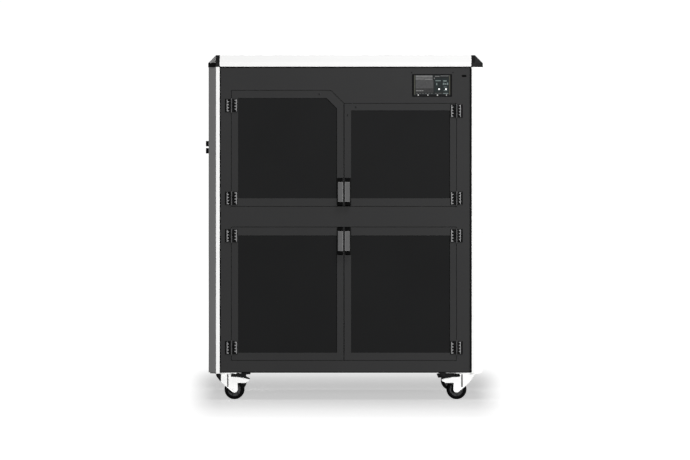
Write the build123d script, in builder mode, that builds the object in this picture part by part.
from build123d import *
import os
from math import cos, sin, radians, sqrt

os.makedirs("parts", exist_ok=True)

# ---------------------------------------------------------------- driving dimensions (mm)
# Cabinet shell. +Z up, the front is -Y, the origin is on the floor under the middle.
HALF_W = 423.0            # outer half width over the corner profiles
HALF_D = 400.0            # outer half depth over the corner profiles
Z_BOT = 84.0              # underside of the frame, top of the caster plates
Z_TOP = 1063.5            # top of the upper beams
PROF = 33.0               # corner profile section
CHAM = 22.0               # 45 degree leg on each profile's outer corner
POST_U, POST_CU = 34.6, 23.5   # width of a corner post along X, and its chamfer leg along X
WALL = 2.5                # profile wall
BEAM_H = 34.5             # height of the upper beams
CAP_IN = 36.0             # arm of a corner cap
CAP_C = 24.5              # chamfer of a corner cap
CAP_X, CAP_Y, CAP_Z = 424.5, 401.0, 1064.5
CAP_Z0 = 1027.0

# Front fascia and the door openings in it
FACE_Y = -398.0           # front face of the fascia and the doors
SHEET = 2.0
FASCIA_X = 386.3
FASCIA_Z0, FASCIA_Z1 = 84.6, 1027.8
X_L, X_C, X_R = -352.3, -4.6, 342.4   # hinge line, centre gap, hinge line
GAP = 0.7                 # half of a door gap
GAP_C = 1.1               # half of the gap between two doors
UP_Z0, UP_Z1L, UP_Z1R = 596.8, 954.9, 914.5
LO_Z0, LO_Z1 = 121.4, 533.2
DOOR_BACK = -382.0
RIM_Y = -379.0            # front of the chamber rims
RIM_IN = 20.0             # how far the rims reach behind the doors

# Hinges
AXIS_Y = FACE_Y - 5.0
KNUCKLE_R = 4.5
PIN_R = 2.0
LEAF_W = 19.25
LEAF_T = 4.0
HINGE_H = 40.7

# Casters
SWIVEL_X, SWIVEL_Y = 370.0, 348.0
TRAIL = 26.3
WHEEL_R = 31.0
WHEEL_HW = 14.0
FORK_HI, FORK_HO = 15.5, 18.5
AXLE_R = 4.0
KING_R = 6.0
CASTERS = {
    "front_left": (-SWIVEL_X, -SWIVEL_Y, 0.0),
    "front_right": (SWIVEL_X, -SWIVEL_Y, 180.0),
    "rear_left": (-SWIVEL_X, SWIVEL_Y, 48.0),
    "rear_right": (SWIVEL_X, SWIVEL_Y, 180.0),
}

# Chambers
LIN_X = 370.0             # outer half width of both chamber liners
LIN_Y1 = 302.0            # back of both chamber liners
UP_LIN_Z0, UP_LIN_Z1 = 588.0, 1022.0
LO_LIN_Z0, LO_LIN_Z1 = 118.0, 547.0
SLIT = 0.2                # gap between separate sheets and bars of one node

# Motion system
RAIL_X0, RAIL_X1 = 348.0, 368.0
RAIL_Z0, RAIL_Z1 = 972.0, 992.0
BELT_X = 352.0
BELT_Y0, BELT_Y1 = -345.0, 275.0
ROD_X, ROD_Y, ROD_R = 150.0, 277.0, 6.0
SCREW_Y, SCREW_R = 270.0, 5.0

# Spools
SPOOL_X, SPOOL_Z = 180.0, 300.0
SPOOL_R, SPOOL_BORE = 130.0, 25.1


def at_y(y):
    """Sketch plane facing the front, at depth y: local x is X, local y is Z."""
    return Plane.XZ.offset(-y)


def inset(points, d):
    """A straight-sided counter-clockwise outline moved inward by d (outward if d < 0)."""
    moved = []
    n = len(points)
    for i in range(n):
        (x0, y0), (x1, y1), (x2, y2) = points[i - 1], points[i], points[(i + 1) % n]
        la, lb = sqrt((x1 - x0) ** 2 + (y1 - y0) ** 2), sqrt((x2 - x1) ** 2 + (y2 - y1) ** 2)
        ax, ay = (x1 - x0) / la, (y1 - y0) / la
        bx, by = (x2 - x1) / lb, (y2 - y1) / lb
        px, py = x1 - ay * d, y1 + ax * d
        qx, qy = x1 - by * d, y1 + bx * d
        t = (by * (qx - px) - bx * (qy - py)) / (ax * by - ay * bx)
        moved.append((px + ax * t, py + ay * t))
    return moved


def block(x0, x1, y0, y1, z0, z1, mode=Mode.ADD):
    """A plain bar or sheet between two corners, in the part that is open."""
    with Locations(((x0 + x1) / 2, (y0 + y1) / 2, (z0 + z1) / 2)):
        Box(x1 - x0, y1 - y0, z1 - z0, mode=mode)


def rod(x, y, z0, z1, r, mode=Mode.ADD):
    """An upright round bar."""
    with Locations((x, y, (z0 + z1) / 2)):
        Cylinder(r, z1 - z0, mode=mode)


def rod_y(x, z, y0, y1, r, mode=Mode.ADD):
    """A round bar along Y."""
    with Locations((x, (y0 + y1) / 2, z)):
        Cylinder(r, y1 - y0, rotation=(90, 0, 0), mode=mode)


# ---------------------------------------------------------------- outlines in the front plane
opening_up = [
    (X_L - GAP, UP_Z0 - GAP), (X_R + GAP, UP_Z0 - GAP), (X_R + GAP, UP_Z1R + GAP),
    (X_C + 0.3, UP_Z1R + GAP), (X_C + 0.3 - (UP_Z1L - UP_Z1R), UP_Z1L + GAP),
    (X_L - GAP, UP_Z1L + GAP),
]
opening_lo = [
    (X_L - GAP, LO_Z0 - GAP), (X_R + GAP, LO_Z0 - GAP),
    (X_R + GAP, LO_Z1 + GAP), (X_L - GAP, LO_Z1 + GAP),
]
XL0, XL1 = X_L + GAP, X_C - GAP_C      # left doors
XR0, XR1 = X_C + GAP_C, X_R - GAP      # right doors
cut = UP_Z1L - UP_Z1R
doors = {
    "upper_left": dict(
        outline=[(XL0, UP_Z0 + GAP), (XL1, UP_Z0 + GAP), (XL1, UP_Z1R + 0.1),
                 (XL1 - cut + 0.8, UP_Z1L - GAP), (XL0, UP_Z1L - GAP)],
        window=[(-331.6, 621.7), (-26.2, 621.7), (-26.2, 899.2), (-58.2, 931.2), (-331.6, 931.2)],
        glass=[(-339.6, 613.7), (-18.2, 613.7), (-18.2, 902.5), (-54.9, 939.2), (-339.6, 939.2)],
        side=-1, hinges=(908.1, 621.8), handle=(597.9, 610.4, 672.1, 684.4)),
    "upper_right": dict(
        outline=[(XR0, UP_Z0 + GAP), (XR1, UP_Z0 + GAP), (XR1, UP_Z1R - GAP), (XR0, UP_Z1R - GAP)],
        window=[(17.0, 621.7), (322.4, 621.7), (322.4, 892.9), (17.0, 892.9)],
        glass=[(9.0, 613.7), (330.4, 613.7), (330.4, 900.9), (9.0, 900.9)],
        side=1, hinges=(891.1, 621.8), handle=(597.9, 610.4, 672.1, 684.4)),
    "lower_left": dict(
        outline=[(XL0, LO_Z0 + GAP), (XL1, LO_Z0 + GAP), (XL1, LO_Z1 - GAP), (XL0, LO_Z1 - GAP)],
        window=[(-331.6, 145.1), (-26.2, 145.1), (-26.2, 507.0), (-331.6, 507.0)],
        glass=[(-339.6, 137.1), (-18.2, 137.1), (-18.2, 515.0), (-339.6, 515.0)],
        side=-1, hinges=(506.4, 160.9), handle=(446.8, 459.1, 520.8, 532.3)),
    "lower_right": dict(
        outline=[(XR0, LO_Z0 + GAP), (XR1, LO_Z0 + GAP), (XR1, LO_Z1 - GAP), (XR0, LO_Z1 - GAP)],
        window=[(17.0, 145.1), (322.4, 145.1), (322.4, 507.0), (17.0, 507.0)],
        glass=[(9.0, 137.1), (330.4, 137.1), (330.4, 515.0), (9.0, 515.0)],
        side=1, hinges=(506.4, 160.9), handle=(446.8, 459.1, 520.8, 532.3)),
}

# ---------------------------------------------------------------- frame
# Four hollow posts, four hollow top beams and four hollow bottom rails.
with BuildPart() as frame_profiles:
    for sx in (-1, 1):
        for sy in (-1, 1):
            with BuildSketch(Plane.XY.offset(Z_BOT)):
                Polygon(*[(sx * (HALF_W - u), sy * (HALF_D - v)) for u, v in
                      [(POST_CU, 0), (POST_U, 0), (POST_U, PROF), (0, PROF), (0, CHAM)]])
                offset(amount=-WALL, kind=Kind.INTERSECTION, mode=Mode.SUBTRACT)
            extrude(amount=CAP_Z0 - Z_BOT)
    beam_uv = [(CHAM, 0), (PROF, 0), (PROF, BEAM_H), (0, BEAM_H), (0, CHAM)]
    beam_x = CAP_X - CAP_IN
    beam_y = CAP_Y - CAP_IN
    for sy in (-1, 1):
        with BuildSketch(Plane.YZ.offset(-beam_x)):
            Polygon(*[(sy * (HALF_D - u), Z_TOP - v) for u, v in beam_uv])
            offset(amount=-WALL, kind=Kind.INTERSECTION, mode=Mode.SUBTRACT)
        extrude(amount=2 * beam_x)
    for sx in (-1, 1):
        with BuildSketch(Plane.XZ.offset(-beam_y)):
            Polygon(*[(sx * (HALF_W - u), Z_TOP - v) for u, v in beam_uv])
            offset(amount=-WALL, kind=Kind.INTERSECTION, mode=Mode.SUBTRACT)
        extrude(amount=2 * beam_y)
    for sy in (-1, 1):
        with BuildSketch(Plane.YZ.offset(-(HALF_W - POST_U - SLIT))):
            Polygon(*[(sy * 366.0, Z_BOT), (sy * 396.0, Z_BOT), (sy * 396.0, Z_BOT + 30), (sy * 366.0, Z_BOT + 30)])
            offset(amount=-2, kind=Kind.INTERSECTION, mode=Mode.SUBTRACT)
        extrude(amount=2 * (HALF_W - POST_U - SLIT))
    for sx in (-1, 1):
        with BuildSketch(Plane.XZ.offset(-(HALF_D - PROF - SLIT))):
            Polygon(*[(sx * 389.0, Z_BOT), (sx * 417.0, Z_BOT), (sx * 417.0, Z_BOT + 30), (sx * 389.0, Z_BOT + 30)])
            offset(amount=-2, kind=Kind.INTERSECTION, mode=Mode.SUBTRACT)
        extrude(amount=2 * (HALF_D - PROF - SLIT))
frame_profiles.part.label = "frame_profiles"
export_step(frame_profiles.part, "parts/frame_profiles.step")

# One corner cap: a cube with its three outer edges chamfered and the corner cut to a facet.
with BuildPart() as cap_unit:
    block(CAP_X - CAP_IN, CAP_X, -CAP_Y, -CAP_Y + CAP_IN, CAP_Z0, CAP_Z)
    split(bisect_by=Plane(origin=(CAP_X, -CAP_Y + CAP_C, 0), z_dir=(1, -1, 0)), keep=Keep.BOTTOM)
    split(bisect_by=Plane(origin=(CAP_X, 0, CAP_Z - CAP_C), z_dir=(1, 0, 1)), keep=Keep.BOTTOM)
    split(bisect_by=Plane(origin=(0, -CAP_Y, CAP_Z - CAP_C), z_dir=(0, -1, 1)), keep=Keep.BOTTOM)
    split(bisect_by=Plane(origin=(CAP_X, -CAP_Y + CAP_C, CAP_Z - CAP_C), z_dir=(1, -1, 1)), keep=Keep.BOTTOM)
with BuildPart() as corner_caps:
    add(cap_unit.part)
    mirror(about=Plane.YZ)
    mirror(about=Plane.XZ)
corner_caps.part.label = "corner_caps"
export_step(corner_caps.part, "parts/corner_caps.step")

# ---------------------------------------------------------------- outer panels
# Top sheet, folded down all round and let in a little below the beams.
with BuildPart() as top_panel:
    block(-388.2, 388.2, -364.6, 364.6, 1045.0, 1059.0)
    block(-386.2, 386.2, -362.6, 362.6, 1044.0, 1057.0, mode=Mode.SUBTRACT)
top_panel.part.label = "top_panel"
export_step(top_panel.part, "parts/top_panel.step")

with BuildPart() as base_pan:
    block(-388.0, 388.0, -365.5, 365.5, Z_BOT, Z_BOT + 2.0)
base_pan.part.label = "base_pan"
export_step(base_pan.part, "parts/base_pan.step")

FIT_Y = -300.0
FIT_Z = (770.5, 792.5)
with BuildPart() as side_panel_left:
    block(-419.0, -417.0, -366.5, 366.5, Z_BOT + 0.6, 1026.6)
    with BuildSketch(Plane.YZ.offset(-425)):
        with Locations(*[(FIT_Y, z) for z in FIT_Z]):
            Circle(5.0)
    extrude(amount=20, mode=Mode.SUBTRACT)
side_panel_left.part.label = "side_panel_left"
export_step(side_panel_left.part, "parts/side_panel_left.step")

with BuildPart() as side_panel_right:
    block(417.0, 419.0, -366.5, 366.5, Z_BOT + 0.6, 1026.6)
side_panel_right.part.label = "side_panel_right"
export_step(side_panel_right.part, "parts/side_panel_right.step")

# Rear sheet with two fields of vent slots and the cut-out of the inlet module.
INLET_X, INLET_Z0, INLET_Z1 = 300.0, 150.0, 236.0
with BuildPart() as rear_panel:
    block(-386.5, 386.5, 396.0, 398.0, Z_BOT + 0.6, 1028.4)
    with BuildSketch(at_y(410)):
        with Locations((0, 930)):
            with GridLocations(96, 14, 6, 8):
                SlotOverall(78, 6)
        with Locations((-200, 215)):
            with GridLocations(96, 14, 3, 7):
                SlotOverall(78, 6)
        with Locations((INLET_X, (INLET_Z0 + INLET_Z1) / 2)):
            Rectangle(38, INLET_Z1 - INLET_Z0 - 6)
    extrude(amount=20, mode=Mode.SUBTRACT)
rear_panel.part.label = "rear_panel"
export_step(rear_panel.part, "parts/rear_panel.step")

# Front fascia: one sheet with two door openings, folded back round them and down both sides.
with BuildPart() as front_fascia:
    with BuildSketch(at_y(FACE_Y + SHEET)):
        Polygon(*[(-FASCIA_X, FASCIA_Z0), (FASCIA_X, FASCIA_Z0), (FASCIA_X, FASCIA_Z1 - 6),
              (FASCIA_X - 6, FASCIA_Z1), (-FASCIA_X + 6, FASCIA_Z1), (-FASCIA_X, FASCIA_Z1 - 6)])
        Polygon(*opening_up, mode=Mode.SUBTRACT)
        Polygon(*opening_lo, mode=Mode.SUBTRACT)
        with Locations((267.75, 970.25)):
            Rectangle(118.0, 65.0, mode=Mode.SUBTRACT)
        with Locations((365.95, 999.3)):
            Rectangle(14.7, 6.5, mode=Mode.SUBTRACT)
    extrude(amount=SHEET)
    for ring in (opening_up, opening_lo):
        with BuildSketch(at_y(RIM_Y)):
            Polygon(*inset(ring, -SHEET))
            Polygon(*ring, mode=Mode.SUBTRACT)
        extrude(amount=RIM_Y - (FACE_Y + SHEET))
    block(-FASCIA_X, -FASCIA_X + SHEET, FACE_Y + SHEET, -380.0, 116.0, 1020.0)
    block(FASCIA_X - SHEET, FASCIA_X, FACE_Y + SHEET, -380.0, 116.0, 1020.0)
front_fascia.part.label = "front_fascia"
export_step(front_fascia.part, "parts/front_fascia.step")

# ---------------------------------------------------------------- front controls
# Touchscreen: bezel with a window, the glass in it, and the module's body behind.
with BuildPart() as touchscreen:
    with BuildSketch(at_y(FACE_Y)):
        Polygon(*[(206.7, 935.7), (328.7, 935.7), (328.7, 1004.8), (206.7, 1004.8)])
        Polygon((210.8, 937.6), (323.8, 937.6), (323.8, 1002.8), (210.8, 1002.8), mode=Mode.SUBTRACT)
    extrude(amount=1.6)
    block(211.0, 323.6, FACE_Y - 0.9, FACE_Y + 1.0, 938.2, 1002.2)
    block(209.2, 326.2, FACE_Y + 1.2, FACE_Y + 15.0, 938.2, 1002.2)
touchscreen.part.label = "touchscreen"
export_step(touchscreen.part, "parts/touchscreen.step")

with BuildPart() as usb_port:
    block(358.9, 373.0, FACE_Y + 0.4, FACE_Y + 18.0, 996.3, 1002.3)
    block(359.6, 372.3, FACE_Y, FACE_Y + 15.0, 997.0, 1001.6, mode=Mode.SUBTRACT)
    block(360.6, 371.3, FACE_Y + 2.5, FACE_Y + 15.0, 999.4, 1001.2)
usb_port.part.label = "usb_port"
export_step(usb_port.part, "parts/usb_port.step")

# ---------------------------------------------------------------- hinges on the fascia
hinge_rows = [(d["side"], z) for d in doors.values() for z in d["hinges"]]
THIRD = HINGE_H / 3.0
with BuildPart() as hinge_fixed_leaves:
    for s, zc in hinge_rows:
        ax = X_L if s < 0 else X_R
        z0 = zc - HINGE_H / 2
        with BuildSketch(at_y(FACE_Y)):
            Polygon(*[(ax + s * 1.0, z0), (ax + s * LEAF_W, z0), (ax + s * LEAF_W, z0 + HINGE_H),
                  (ax + s * 1.0, z0 + HINGE_H), (ax + s * 1.0, z0 + 2 * THIRD + 0.2),
                  (ax + s * 5.2, z0 + 2 * THIRD + 0.2), (ax + s * 5.2, z0 + THIRD - 0.2),
                  (ax + s * 1.0, z0 + THIRD - 0.2)])
        extrude(amount=LEAF_T)
        for k0, k1 in ((0.0, THIRD - 0.2), (2 * THIRD + 0.2, HINGE_H)):
            rod(ax, AXIS_Y, z0 + k0, z0 + k1, KNUCKLE_R)
            rod(ax, AXIS_Y, z0 + k0, z0 + k1, PIN_R + 0.02, mode=Mode.SUBTRACT)
        rod(ax, AXIS_Y, z0 - 0.6, z0 + HINGE_H + 0.6, PIN_R)
        rod(ax, AXIS_Y, z0 - 1.6, z0 - 0.6, 3.0)
        rod(ax, AXIS_Y, z0 + HINGE_H + 0.6, z0 + HINGE_H + 1.6, 3.0)
hinge_fixed_leaves.part.label = "hinge_fixed_leaves"
export_step(hinge_fixed_leaves.part, "parts/hinge_fixed_leaves.step")

# ---------------------------------------------------------------- the four doors
for name, d in doors.items():
    s = d["side"]
    ax = X_L if s < 0 else X_R

    # Folded steel tray: front skin with the window cut out, returns all round, a lip at the back.
    with BuildPart() as door_frame:
        with BuildSketch(at_y(FACE_Y + SHEET)):
            Polygon(*d["outline"])
            Polygon(*d["window"], mode=Mode.SUBTRACT)
        extrude(amount=SHEET)
        with BuildSketch(at_y(DOOR_BACK)):
            Polygon(*d["outline"])
            Polygon(*inset(d["outline"], SHEET), mode=Mode.SUBTRACT)
        extrude(amount=DOOR_BACK - FACE_Y - SHEET)
        with BuildSketch(at_y(DOOR_BACK)):
            Polygon(*d["outline"])
            Polygon(*inset(d["outline"], 11.0), mode=Mode.SUBTRACT)
        extrude(amount=SHEET)
    door_frame.part.label = f"door_frame_{name}"
    export_step(door_frame.part, f"parts/door_frame_{name}.step")

    # Smoked pane, bonded behind the skin.
    with BuildPart() as window:
        with BuildSketch(at_y(FACE_Y + SHEET + 4.0)):
            Polygon(*d["glass"])
        extrude(amount=4.0)
    window.part.label = f"window_{name}"
    export_step(window.part, f"parts/window_{name}.step")

    # Bridge pull: two feet, a bridge and a flat bar let into its front.
    hx0, hx1 = (-23.8, -7.7) if s < 0 else (-2.2, 13.9)
    za, zb, zc, zd = d["handle"]
    with BuildPart() as handle:
        with BuildSketch(Plane.YZ.offset(hx0)):
            Polygon(*[(FACE_Y, za), (FACE_Y, zb), (-417.0, zb), (-417.0, zc), (FACE_Y, zc), (FACE_Y, zd),
                  (-423.0, zd), (-426.0, zd - 2.5), (-426.0, zc + 0.2), (-421.2, zc + 0.2),
                  (-421.2, zb - 0.2), (-426.0, zb - 0.2), (-426.0, za + 2.5), (-423.0, za)])
        extrude(amount=hx1 - hx0)
        with BuildSketch(Plane.YZ.offset(hx0)):
            Polygon(*[(-421.4, zb), (-426.2, zb), (-426.2, zc), (-421.4, zc)])
        extrude(amount=hx1 - hx0)
    handle.part.label = f"handle_{name}"
    export_step(handle.part, f"parts/handle_{name}.step")

    # Moving leaves: the middle knuckle turns on the pin.
    m = -s
    with BuildPart() as hinge_leaf:
        for zh in d["hinges"]:
            z0 = zh - HINGE_H / 2
            with BuildSketch(at_y(FACE_Y)):
                Polygon(*[(ax + m * 5.2, z0), (ax + m * LEAF_W, z0), (ax + m * LEAF_W, z0 + HINGE_H),
                      (ax + m * 5.2, z0 + HINGE_H), (ax + m * 5.2, z0 + 2 * THIRD - 0.2),
                      (ax + m * 1.0, z0 + 2 * THIRD - 0.2), (ax + m * 1.0, z0 + THIRD + 0.2),
                      (ax + m * 5.2, z0 + THIRD + 0.2)])
            extrude(amount=LEAF_T)
            rod(ax, AXIS_Y, z0 + THIRD + 0.2, z0 + 2 * THIRD - 0.2, KNUCKLE_R)
            rod(ax, AXIS_Y, z0 + THIRD + 0.2, z0 + 2 * THIRD - 0.2, PIN_R + 0.06, mode=Mode.SUBTRACT)
    hinge_leaf.part.label = f"hinge_leaves_{name}"
    export_step(hinge_leaf.part, f"parts/hinge_leaves_{name}.step")

# ---------------------------------------------------------------- chambers
# Two sheet boxes, open to the front, each with a rim that the doors close against.
for name, z0, z1, ring in (("upper_liner", UP_LIN_Z0, UP_LIN_Z1, opening_up),
                           ("lower_liner", LO_LIN_Z0, LO_LIN_Z1, opening_lo)):
    with BuildPart() as liner:
        ya, yb = RIM_Y + SHEET + SLIT, LIN_Y1
        block(-LIN_X, LIN_X, ya, yb, z0, z0 + 2)
        block(-LIN_X, LIN_X, ya, yb, z1 - 2, z1)
        block(-LIN_X, -LIN_X + 2, ya, yb, z0 + 2 + SLIT, z1 - 2 - SLIT)
        block(LIN_X - 2, LIN_X, ya, yb, z0 + 2 + SLIT, z1 - 2 - SLIT)
        block(-LIN_X + 2 + SLIT, LIN_X - 2 - SLIT, yb - 2, yb, z0 + 2 + SLIT, z1 - 2 - SLIT)
        with BuildSketch(at_y(RIM_Y + SHEET)):
            Polygon((-LIN_X, z0), (LIN_X, z0), (LIN_X, z1), (-LIN_X, z1))
            Polygon(*inset(ring, RIM_IN), mode=Mode.SUBTRACT)
        extrude(amount=SHEET)
        if name == "upper_liner":
            rod(0, SCREW_Y, z0 - 1, z0 + 3, 12.0, mode=Mode.SUBTRACT)
            for sx in (-1, 1):
                rod(sx * BELT_X, BELT_Y1, z1 - 3, z1 + 1, 6.0, mode=Mode.SUBTRACT)
    liner.part.label = name
    export_step(liner.part, f"parts/{name}.step")

# Flat seals on both rims, 0.4 mm clear of the closed doors.
with BuildPart() as door_gaskets:
    for ring in (opening_up, opening_lo):
        with BuildSketch(at_y(RIM_Y)):
            Polygon(*inset(ring, 4.0))
            Polygon(*inset(ring, 10.0), mode=Mode.SUBTRACT)
        extrude(amount=2.6)
door_gaskets.part.label = "door_gaskets"
export_step(door_gaskets.part, "parts/door_gaskets.step")

# Magnet catches on the rims at the free corners of the doors.
MAGNETS = [(-80.5, 938.6), (36.0, 899.2), (-44.0, 612.0), (34.0, 612.0),
           (-44.0, 136.6), (34.0, 136.6), (-44.0, 518.0), (34.0, 518.0)]
with BuildPart() as magnet_catches:
    with BuildSketch(at_y(RIM_Y)):
        with Locations(*MAGNETS):
            Rectangle(30.0, 8.0)
    extrude(amount=2.5)
magnet_catches.part.label = "magnet_catches"
export_step(magnet_catches.part, "parts/magnet_catches.step")

# ---------------------------------------------------------------- side fittings
# Two bulkhead fittings for filament tube: body outside, neck through the panel, nut inside.
with BuildPart() as filament_fittings:
    for z in FIT_Z:
        with BuildSketch(Plane.YZ.offset(-434.0)):
            with Locations((FIT_Y, z)):
                Circle(8.5)
        extrude(amount=15.0)
        with BuildSketch(Plane.YZ.offset(-419.0)):
            with Locations((FIT_Y, z)):
                Circle(4.9)
        extrude(amount=13.0)
        with BuildSketch(Plane.YZ.offset(-417.0)):
            with Locations((FIT_Y, z)):
                RegularPolygon(8.5, 6)
        extrude(amount=6.0)
        with BuildSketch(Plane.YZ.offset(-435.0)):
            with Locations((FIT_Y, z)):
                Circle(2.1)
        extrude(amount=34.0, mode=Mode.SUBTRACT)
filament_fittings.part.label = "filament_fittings"
export_step(filament_fittings.part, "parts/filament_fittings.step")

# ---------------------------------------------------------------- mains inlet and its rocker
ROCK_Y, ROCK_Z = 394.0, 214.0
with BuildPart() as mains_inlet:
    block(INLET_X - 22, INLET_X + 22, 398.0, 401.0, INLET_Z0, INLET_Z1)
    block(INLET_X - 18.5, INLET_X + 18.5, 372.0, 398.0, INLET_Z0 + 3.5, INLET_Z1 - 3.5)
    block(INLET_X - 12.5, INLET_X + 12.5, 384.0, 402.0, 158.0, 174.0, mode=Mode.SUBTRACT)
    block(INLET_X - 10.0, INLET_X + 10.0, 384.0, 402.0, ROCK_Z - 13.0, ROCK_Z + 13.0, mode=Mode.SUBTRACT)
    for dx, dz in ((-7.0, 164.0), (7.0, 164.0), (0.0, 168.0)):
        block(INLET_X + dx - 1.0, INLET_X + dx + 1.0, 383.0, 396.0, dz - 2.0, dz + 2.0)
    with BuildSketch(Plane.YZ.offset(INLET_X - 11)):
        with Locations((ROCK_Y, ROCK_Z)):
            Circle(1.2)
    extrude(amount=22)
mains_inlet.part.label = "mains_inlet"
export_step(mains_inlet.part, "parts/mains_inlet.step")

with BuildPart() as power_rocker:
    with BuildSketch(Plane.YZ.offset(INLET_X - 9.7)):
        Polygon(*[(390.0, ROCK_Z - 9), (390.0, ROCK_Z + 9), (402.5, ROCK_Z + 10.5),
              (400.2, ROCK_Z), (398.0, ROCK_Z - 10.5)])
        with Locations((ROCK_Y, ROCK_Z)):
            Circle(1.26, mode=Mode.SUBTRACT)
    extrude(amount=19.4)
power_rocker.part.label = "power_rocker"
export_step(power_rocker.part, "parts/power_rocker.step")

# ---------------------------------------------------------------- casters
# Top plates with the kingpins, one under each corner.
with BuildPart() as caster_plates:
    for cx, cy, ang in CASTERS.values():
        with BuildSketch(Plane.XY.offset(Z_BOT - 3.0)):
            with Locations((cx, cy)):
                RectangleRounded(64, 64, 5)
                with GridLocations(46, 46, 2, 2):
                    Circle(3.3, mode=Mode.SUBTRACT)
        extrude(amount=3.0)
        rod(cx, cy, 79.4, 81.0, 16.0)
        rod(cx, cy, 57.0, 81.0, KING_R)
caster_plates.part.label = "caster_plates"
export_step(caster_plates.part, "parts/caster_plates.step")

fork_side = [(-31.5, 79), (-17, 57), (-2.8, 42.4), (15.7, 26.7), (19.5, 23.6), (24.2, 21.3),
             (29.4, 21.5), (33.6, 24.2), (36.1, 28.4), (36.3, 31), (35.5, 51), (60.8, 51),
             (72, 58), (72, 61.5), (39, 69.5), (17.5, 70.5), (17.5, 79)]
pedal_side = [(18.0, 71.6), (38.0, 70.8), (56.0, 67.0), (73.4, 62.4), (74.4, 64.2), (63.0, 69.8),
              (61.4, 74.0), (64.0, 76.8), (75.5, 77.2), (75.5, 79.4), (58.0, 80.4), (34.0, 80.4),
              (30.0, 78.6), (18.0, 78.4)]
for name, (cx, cy, ang) in CASTERS.items():
    tx, ty = cos(radians(ang)), sin(radians(ang))
    side = Plane(origin=(cx, cy, 0), x_dir=(tx, ty, 0), z_dir=(ty, -tx, 0))
    braked = name.startswith("front")

    with BuildPart() as fork:
        with BuildSketch(side):
            Polygon(*fork_side)
        extrude(amount=FORK_HO, both=True)
        with BuildSketch(side):
            with Locations((TRAIL, WHEEL_R)):
                Circle(WHEEL_R + 2.5)
            Polygon(*[(-5, -5), (90, -5), (90, 30), (50, 40), (26, 40), (-5, 30)])
        extrude(amount=FORK_HI, both=True, mode=Mode.SUBTRACT)
        rod(cx, cy, 40.0, 90.0, KING_R + 0.08, mode=Mode.SUBTRACT)
        with BuildSketch(side):
            with Locations((TRAIL, WHEEL_R)):
                Circle(AXLE_R)
        extrude(amount=FORK_HO, both=True)
        if braked:
            with BuildSketch(side):
                Polygon(*[(28.0, 90.0), (28.0, 60.0), (90.0, 45.0), (90.0, 90.0)])
            extrude(amount=11.6, both=True, mode=Mode.SUBTRACT)
            for s in (-1, 1):
                with BuildSketch(side.offset(s * 13.5)):
                    Polygon(*[(17.0, 69.0), (27.5, 69.0), (27.5, 76.0), (25.0, 78.6), (17.0, 78.6)])
                extrude(amount=1.9, both=True)
            with BuildSketch(side):
                with Locations((22.5, 75.0)):
                    Circle(1.6)
            extrude(amount=15.4, both=True)
    fork.part.label = f"caster_fork_{name}"
    export_step(fork.part, f"parts/caster_fork_{name}.step")

    # Tyre and hub: one wheel, the hub bored for the axle.
    with BuildPart() as wheel:
        with BuildSketch(side):
            with Locations((TRAIL, WHEEL_R)):
                Circle(WHEEL_R)
        extrude(amount=WHEEL_HW, both=True)
        fillet(wheel.edges().filter_by(GeomType.CIRCLE), 6.0)
        for s in (-1, 1):
            with BuildSketch(side.offset(s * WHEEL_HW)):
                with Locations((TRAIL, WHEEL_R)):
                    Circle(21.0)
                    Circle(9.0, mode=Mode.SUBTRACT)
            extrude(amount=3.0, both=True, mode=Mode.SUBTRACT)
        with BuildSketch(side):
            with Locations((TRAIL, WHEEL_R)):
                Circle(AXLE_R + 0.06)
        extrude(amount=WHEEL_HW + 1, both=True, mode=Mode.SUBTRACT)
    wheel.part.label = f"caster_wheel_{name}"
    export_step(wheel.part, f"parts/caster_wheel_{name}.step")

    if braked:
        with BuildPart() as pedal:
            with BuildSketch(side):
                Polygon(*pedal_side)
                with Locations((22.5, 75.0)):
                    Circle(1.66, mode=Mode.SUBTRACT)
            extrude(amount=11.0, both=True)
        pedal.part.label = f"brake_pedal_{name}"
        export_step(pedal.part, f"parts/brake_pedal_{name}.step")

# ---------------------------------------------------------------- print chamber
# Two rails along the chamber walls.
with BuildPart() as gantry_rails:
    for s in (-1, 1):
        with BuildSketch(at_y(290.0)):
            with Locations((s * (RAIL_X0 + RAIL_X1) / 2, (RAIL_Z0 + RAIL_Z1) / 2)):
                Rectangle(RAIL_X1 - RAIL_X0, RAIL_Z1 - RAIL_Z0)
        extrude(amount=660.0)
gantry_rails.part.label = "gantry_rails"
export_step(gantry_rails.part, "parts/gantry_rails.step")

# Two closed belts above the rails.
with BuildPart() as drive_belts:
    for s in (-1, 1):
        with BuildSketch(Plane.XY.offset(995.0)):
            with Locations((s * BELT_X, (BELT_Y0 + BELT_Y1) / 2)):
                SlotCenterToCenter(BELT_Y1 - BELT_Y0, 13.0, rotation=90)
                SlotCenterToCenter(BELT_Y1 - BELT_Y0, 10.2, rotation=90, mode=Mode.SUBTRACT)
        extrude(amount=6.0)
drive_belts.part.label = "drive_belts"
export_step(drive_belts.part, "parts/drive_belts.step")

# Belt motors above the ceiling with their pulleys, front idlers, and the lift motor.
with BuildPart() as axis_motors:
    for s in (-1, 1):
        with BuildSketch(Plane.XY.offset(UP_LIN_Z1)):
            with Locations((s * BELT_X, BELT_Y1)):
                RectangleRounded(42.0, 42.0, 4.0)
        extrude(amount=34.0)
        rod(s * BELT_X, BELT_Y1, 993.0, UP_LIN_Z1, 2.5)
        rod(s * BELT_X, BELT_Y1, 994.5, 1001.5, 5.0)
        rod(s * BELT_X, BELT_Y0, RAIL_Z1, 1003.0, 2.5)
        rod(s * BELT_X, BELT_Y0, 994.5, 1001.5, 5.0)
    with BuildSketch(Plane.XY.offset(LO_LIN_Z1 + 1)):
        with Locations((0, SCREW_Y)):
            RectangleRounded(42.0, 42.0, 4.0)
    extrude(amount=36.0)
axis_motors.part.label = "axis_motors"
export_step(axis_motors.part, "parts/axis_motors.step")

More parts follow.
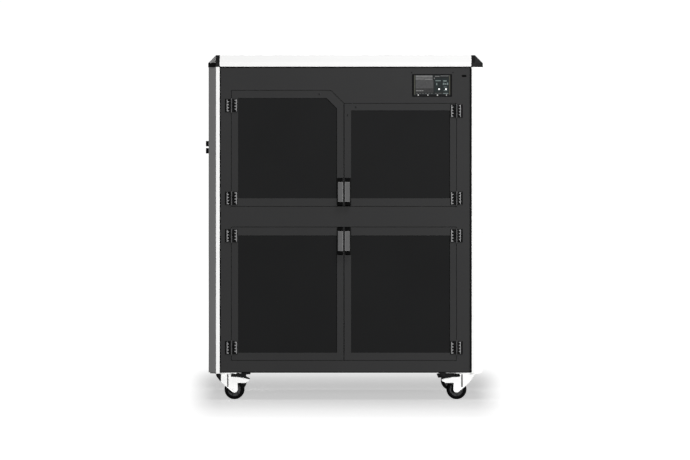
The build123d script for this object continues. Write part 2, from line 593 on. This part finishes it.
# Lift guides: two rods between a foot on the floor and a bracket on the back wall.
with BuildPart() as z_guides:
    for s in (-1, 1):
        block(s * ROD_X - 18, s * ROD_X + 18, 262.0, 296.0, UP_LIN_Z0 + 2, UP_LIN_Z0 + 14)
        rod(s * ROD_X, ROD_Y, UP_LIN_Z0 + 10, 1012.0, ROD_R)
    block(-172.0, 172.0, 258.0, LIN_Y1 - 2, 1004.0, 1014.0)
    rod(0, SCREW_Y, 1000.0, 1018.0, SCREW_R + 0.06, mode=Mode.SUBTRACT)
z_guides.part.label = "z_guides"
export_step(z_guides.part, "parts/z_guides.step")

with BuildPart() as z_screw:
    rod(0, SCREW_Y, 587.0, 1010.0, SCREW_R)
    rod(0, SCREW_Y, 592.0, 612.0, 9.0)
z_screw.part.label = "z_screw"
export_step(z_screw.part, "parts/z_screw.step")

# Bed frame: carriage on the rods and the screw, two arms, a front cross bar, four stand-offs.
BED_Z = 700.0
with BuildPart() as bed_frame:
    block(-172.0, 172.0, 258.0, 294.0, BED_Z, BED_Z + 28)
    for s in (-1, 1):
        rod(s * ROD_X, ROD_Y, BED_Z - 1, BED_Z + 29, ROD_R + 0.06, mode=Mode.SUBTRACT)
        block(s * 140 - 12, s * 140 + 12, -140.0, 259.0, BED_Z + 12, BED_Z + 28)
    rod(0, SCREW_Y, BED_Z - 1, BED_Z + 29, SCREW_R + 0.06, mode=Mode.SUBTRACT)
    block(-152.0, 152.0, -150.0, -130.0, BED_Z + 12, BED_Z + 28)
    for s in (-1, 1):
        for y in (-130.0, 120.0):
            rod(s * 140, y, BED_Z + 28, BED_Z + 35, 5.0)
bed_frame.part.label = "bed_frame"
export_step(bed_frame.part, "parts/bed_frame.step")

with BuildPart() as build_plate:
    block(-215.0, 205.0, -165.0, 155.0, BED_Z + 35, BED_Z + 40)
    fillet(build_plate.edges().filter_by(Axis.Z), 6.0)
build_plate.part.label = "build_plate"
export_step(build_plate.part, "parts/build_plate.step")

# Cross beam: a bar with a C-shaped carriage on each rail and a clamp beside each belt.
with BuildPart() as x_beam:
    block(-342.0, 342.0, -15.0, 15.0, 948.0, 968.0)
    for s in (-1, 1):
        xa, xb = sorted((s * 338.0, s * 367.5))
        block(xa, xb, -30.0, 30.0, 946.0, 971.9)
        xa, xb = sorted((s * 338.0, s * 347.9))
        block(xa, xb, -30.0, 30.0, 971.9, 992.1)
        xa, xb = sorted((s * 338.0, s * 367.5))
        block(xa, xb, -30.0, 30.0, 992.1, 994.4)
        xa, xb = sorted((s * 338.0, s * 345.2))
        block(xa, xb, -12.0, 12.0, 994.4, 1001.0)
x_beam.part.label = "x_beam"
export_step(x_beam.part, "parts/x_beam.step")

# Print head: a housing that slides on the beam, with two nozzles.
with BuildPart() as print_head:
    block(-35.0, 35.0, -50.0, 24.0, 908.0, 984.0)
    fillet(print_head.edges().filter_by(Axis.Z), 5.0)
    block(-40.0, 40.0, -15.1, 15.1, 947.9, 968.1, mode=Mode.SUBTRACT)
    for x in (-15.0, 15.0):
        with BuildSketch(Plane.XY.offset(908.0)):
            with Locations((x, -30.0)):
                Circle(8.0)
        with BuildSketch(Plane.XY.offset(888.0)):
            with Locations((x, -30.0)):
                Circle(1.5)
        loft()
print_head.part.label = "print_head"
export_step(print_head.part, "parts/print_head.step")

# ---------------------------------------------------------------- drying chamber
# Two spool stands: foot, upright, shaft with a hub and a shoulder at each end.
with BuildPart() as spool_stand:
    for s in (-1, 1):
        x = s * SPOOL_X
        block(x - 60, x + 60, -70.0, 20.0, LO_LIN_Z0 + 2, LO_LIN_Z0 + 6)
        block(x - 25, x + 25, -40.0, -30.0, LO_LIN_Z0 + 5, SPOOL_Z + 25)
        rod_y(x, SPOOL_Z, -58.5, -35.0, 30.0)
        rod_y(x, SPOOL_Z, -152.0, -50.0, 25.0)
        rod_y(x, SPOOL_Z, -160.0, -151.5, 31.0)
spool_stand.part.label = "spool_stand"
export_step(spool_stand.part, "parts/spool_stand.step")

for name, s in (("spool_left", -1), ("spool_right", 1)):
    with BuildPart() as spool:
        x = s * SPOOL_X
        rod_y(x, SPOOL_Z, -150.0, -146.0, SPOOL_R)
        rod_y(x, SPOOL_Z, -64.0, -60.0, SPOOL_R)
        rod_y(x, SPOOL_Z, -150.0, -60.0, 50.0)
        rod_y(x, SPOOL_Z, -151.0, -59.0, SPOOL_BORE, mode=Mode.SUBTRACT)
        with BuildSketch(at_y(-64.2)):
            with Locations((x, SPOOL_Z)):
                Circle(112.0)
                Circle(50.2, mode=Mode.SUBTRACT)
        extrude(amount=81.6)
    spool.part.label = name
    export_step(spool.part, f"parts/{name}.step")

# Dryer heater: a housing on the floor at the back with a round mouth and the fan's spindle.
FAN_X, FAN_Z = 0.0, 172.0
with BuildPart() as dryer_heater:
    block(-110.0, 110.0, 200.0, LIN_Y1 - 2, LO_LIN_Z0 + 2, 222.0)
    rod_y(FAN_X, FAN_Z, 199.0, 232.0, 42.0, mode=Mode.SUBTRACT)
    rod_y(FAN_X, FAN_Z, 204.0, 233.0, 3.0)
dryer_heater.part.label = "dryer_heater"
export_step(dryer_heater.part, "parts/dryer_heater.step")

with BuildPart() as dryer_fan_rotor:
    rod_y(FAN_X, FAN_Z, 201.5, 226.0, 14.0)
    with BuildSketch(Plane.XZ.offset(-224.0)):
        with Locations((FAN_X, FAN_Z)):
            with PolarLocations(26.0, 7):
                Rectangle(26.0, 3.0, rotation=18)
    extrude(amount=19.0)
    rod_y(FAN_X, FAN_Z, 203.4, 227.0, 3.06, mode=Mode.SUBTRACT)
dryer_fan_rotor.part.label = "dryer_fan_rotor"
export_step(dryer_fan_rotor.part, "parts/dryer_fan_rotor.step")

# Electronics behind the lower chamber: supply, main board, heat sink.
with BuildPart() as electronics:
    block(-330.0, -115.0, LIN_Y1, LIN_Y1 + 50, 150.0, 265.0)
    block(-60.0, 140.0, LIN_Y1 + 8, LIN_Y1 + 10, 150.0, 300.0)
    for x in (-52.0, 132.0):
        for z in (158.0, 292.0):
            rod_y(x, z, LIN_Y1, LIN_Y1 + 8, 3.0)
    block(0.0, 60.0, LIN_Y1 + 10, LIN_Y1 + 24, 200.0, 240.0)
electronics.part.label = "electronics"
export_step(electronics.part, "parts/electronics.step")
